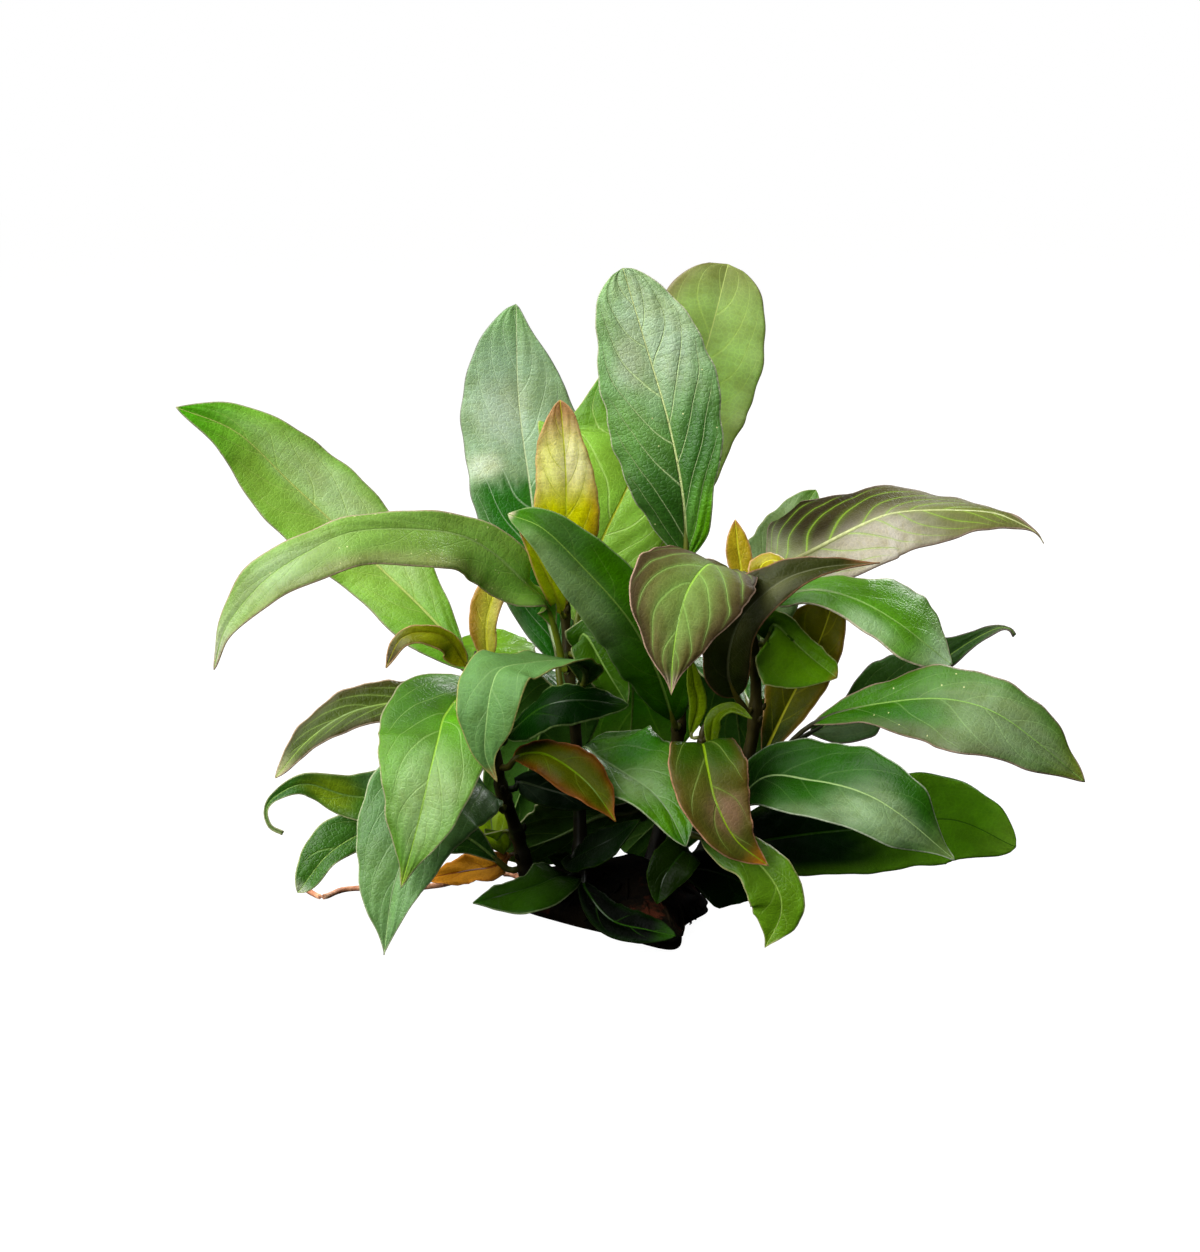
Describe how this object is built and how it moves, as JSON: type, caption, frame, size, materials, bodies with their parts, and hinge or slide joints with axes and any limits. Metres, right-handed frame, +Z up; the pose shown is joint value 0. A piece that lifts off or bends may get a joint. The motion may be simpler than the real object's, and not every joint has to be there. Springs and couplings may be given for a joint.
{
  "type": "hygrophila plant clump",
  "caption": "Leafy clump of hygrophila, an aquarium plant grown above water: broad pointed leaves on short stems that rise from a low woody rootstock, cut off flat underneath.",
  "frame": {"origin": "centre of the flat cut under the rootstock, at ground level", "axes": "+X to the right as the plant is seen from the front, +Y away from the viewer, +Z up"},
  "size_m": [0.2241, 0.1318, 0.1643],
  "materials": {
    "leaf_green": "satin",
    "leaf_bright": "satin",
    "leaf_bronze": "satin",
    "leaf_young": "satin",
    "leaf_withered": "matte",
    "stem": "satin",
    "rootstock": "matte",
    "root": "satin"
  },
  "bodies": {
    "root": {"rootstock": "rootstock", "root": "root", "stem_left": "stem", "stem_centre_left": "stem", "stem_centre": "stem", "stem_right": "stem", "stem_front": "stem", "leaf_tall_centre": "leaf_green", "leaf_tall_right": "leaf_bright", "leaf_tall_left": "leaf_green", "leaf_centre_bright": "leaf_bright", "young_leaf_yellow": "leaf_young", "young_leaf_strap": "leaf_young", "leaf_far_left_high": "leaf_bright", "leaf_left_long": "leaf_bright", "young_leaf_left_curled": "leaf_young", "young_leaf_left_upright": "leaf_young", "leaf_left_behind": "leaf_bright", "leaf_left_bronze": "leaf_bronze", "leaf_left_broad": "leaf_bright", "leaf_left_hook": "leaf_green", "leaf_left_low_outer": "leaf_green", "leaf_left_drooping": "leaf_green", "leaf_left_low_bright": "leaf_bright", "leaf_withered": "leaf_withered", "leaf_centre_large": "leaf_green", "leaf_centre_arched": "leaf_green", "leaf_centre_shaded": "leaf_green", "leaf_centre_small": "leaf_green", "leaf_centre_amber": "leaf_bronze", "leaf_centre_under": "leaf_green", "leaf_centre_glossy": "leaf_green", "leaf_centre_veined": "leaf_bronze", "young_leaf_front_upright": "leaf_green", "young_leaf_front_curled": "leaf_green", "leaf_centre_low_bronze": "leaf_bronze", "young_leaf_right_upright": "leaf_young", "young_leaf_right_curled": "leaf_young", "leaf_right_top": "leaf_bronze", "leaf_right_folded": "leaf_bronze", "leaf_right_behind": "leaf_green", "leaf_right_upper": "leaf_green", "leaf_right_under": "leaf_green", "leaf_right_olive": "leaf_young", "leaf_right_far": "leaf_green", "leaf_right_large": "leaf_green", "leaf_right_low_large": "leaf_green", "leaf_right_low_behind": "leaf_bright", "leaf_front_low": "leaf_bright", "leaf_low_centre": "leaf_green", "leaf_low_pair": "leaf_green", "leaf_low_left": "leaf_green", "leaf_low_shaded": "leaf_green", "leaf_foot_front": "leaf_green", "young_leaf_foot": "leaf_green", "leaf_back_left": "leaf_green", "leaf_back_right": "leaf_green", "leaf_back_middle": "leaf_bright", "leaf_back_low": "leaf_green", "leaf_back_low_right": "leaf_green"}
  },
  "joints": []
}
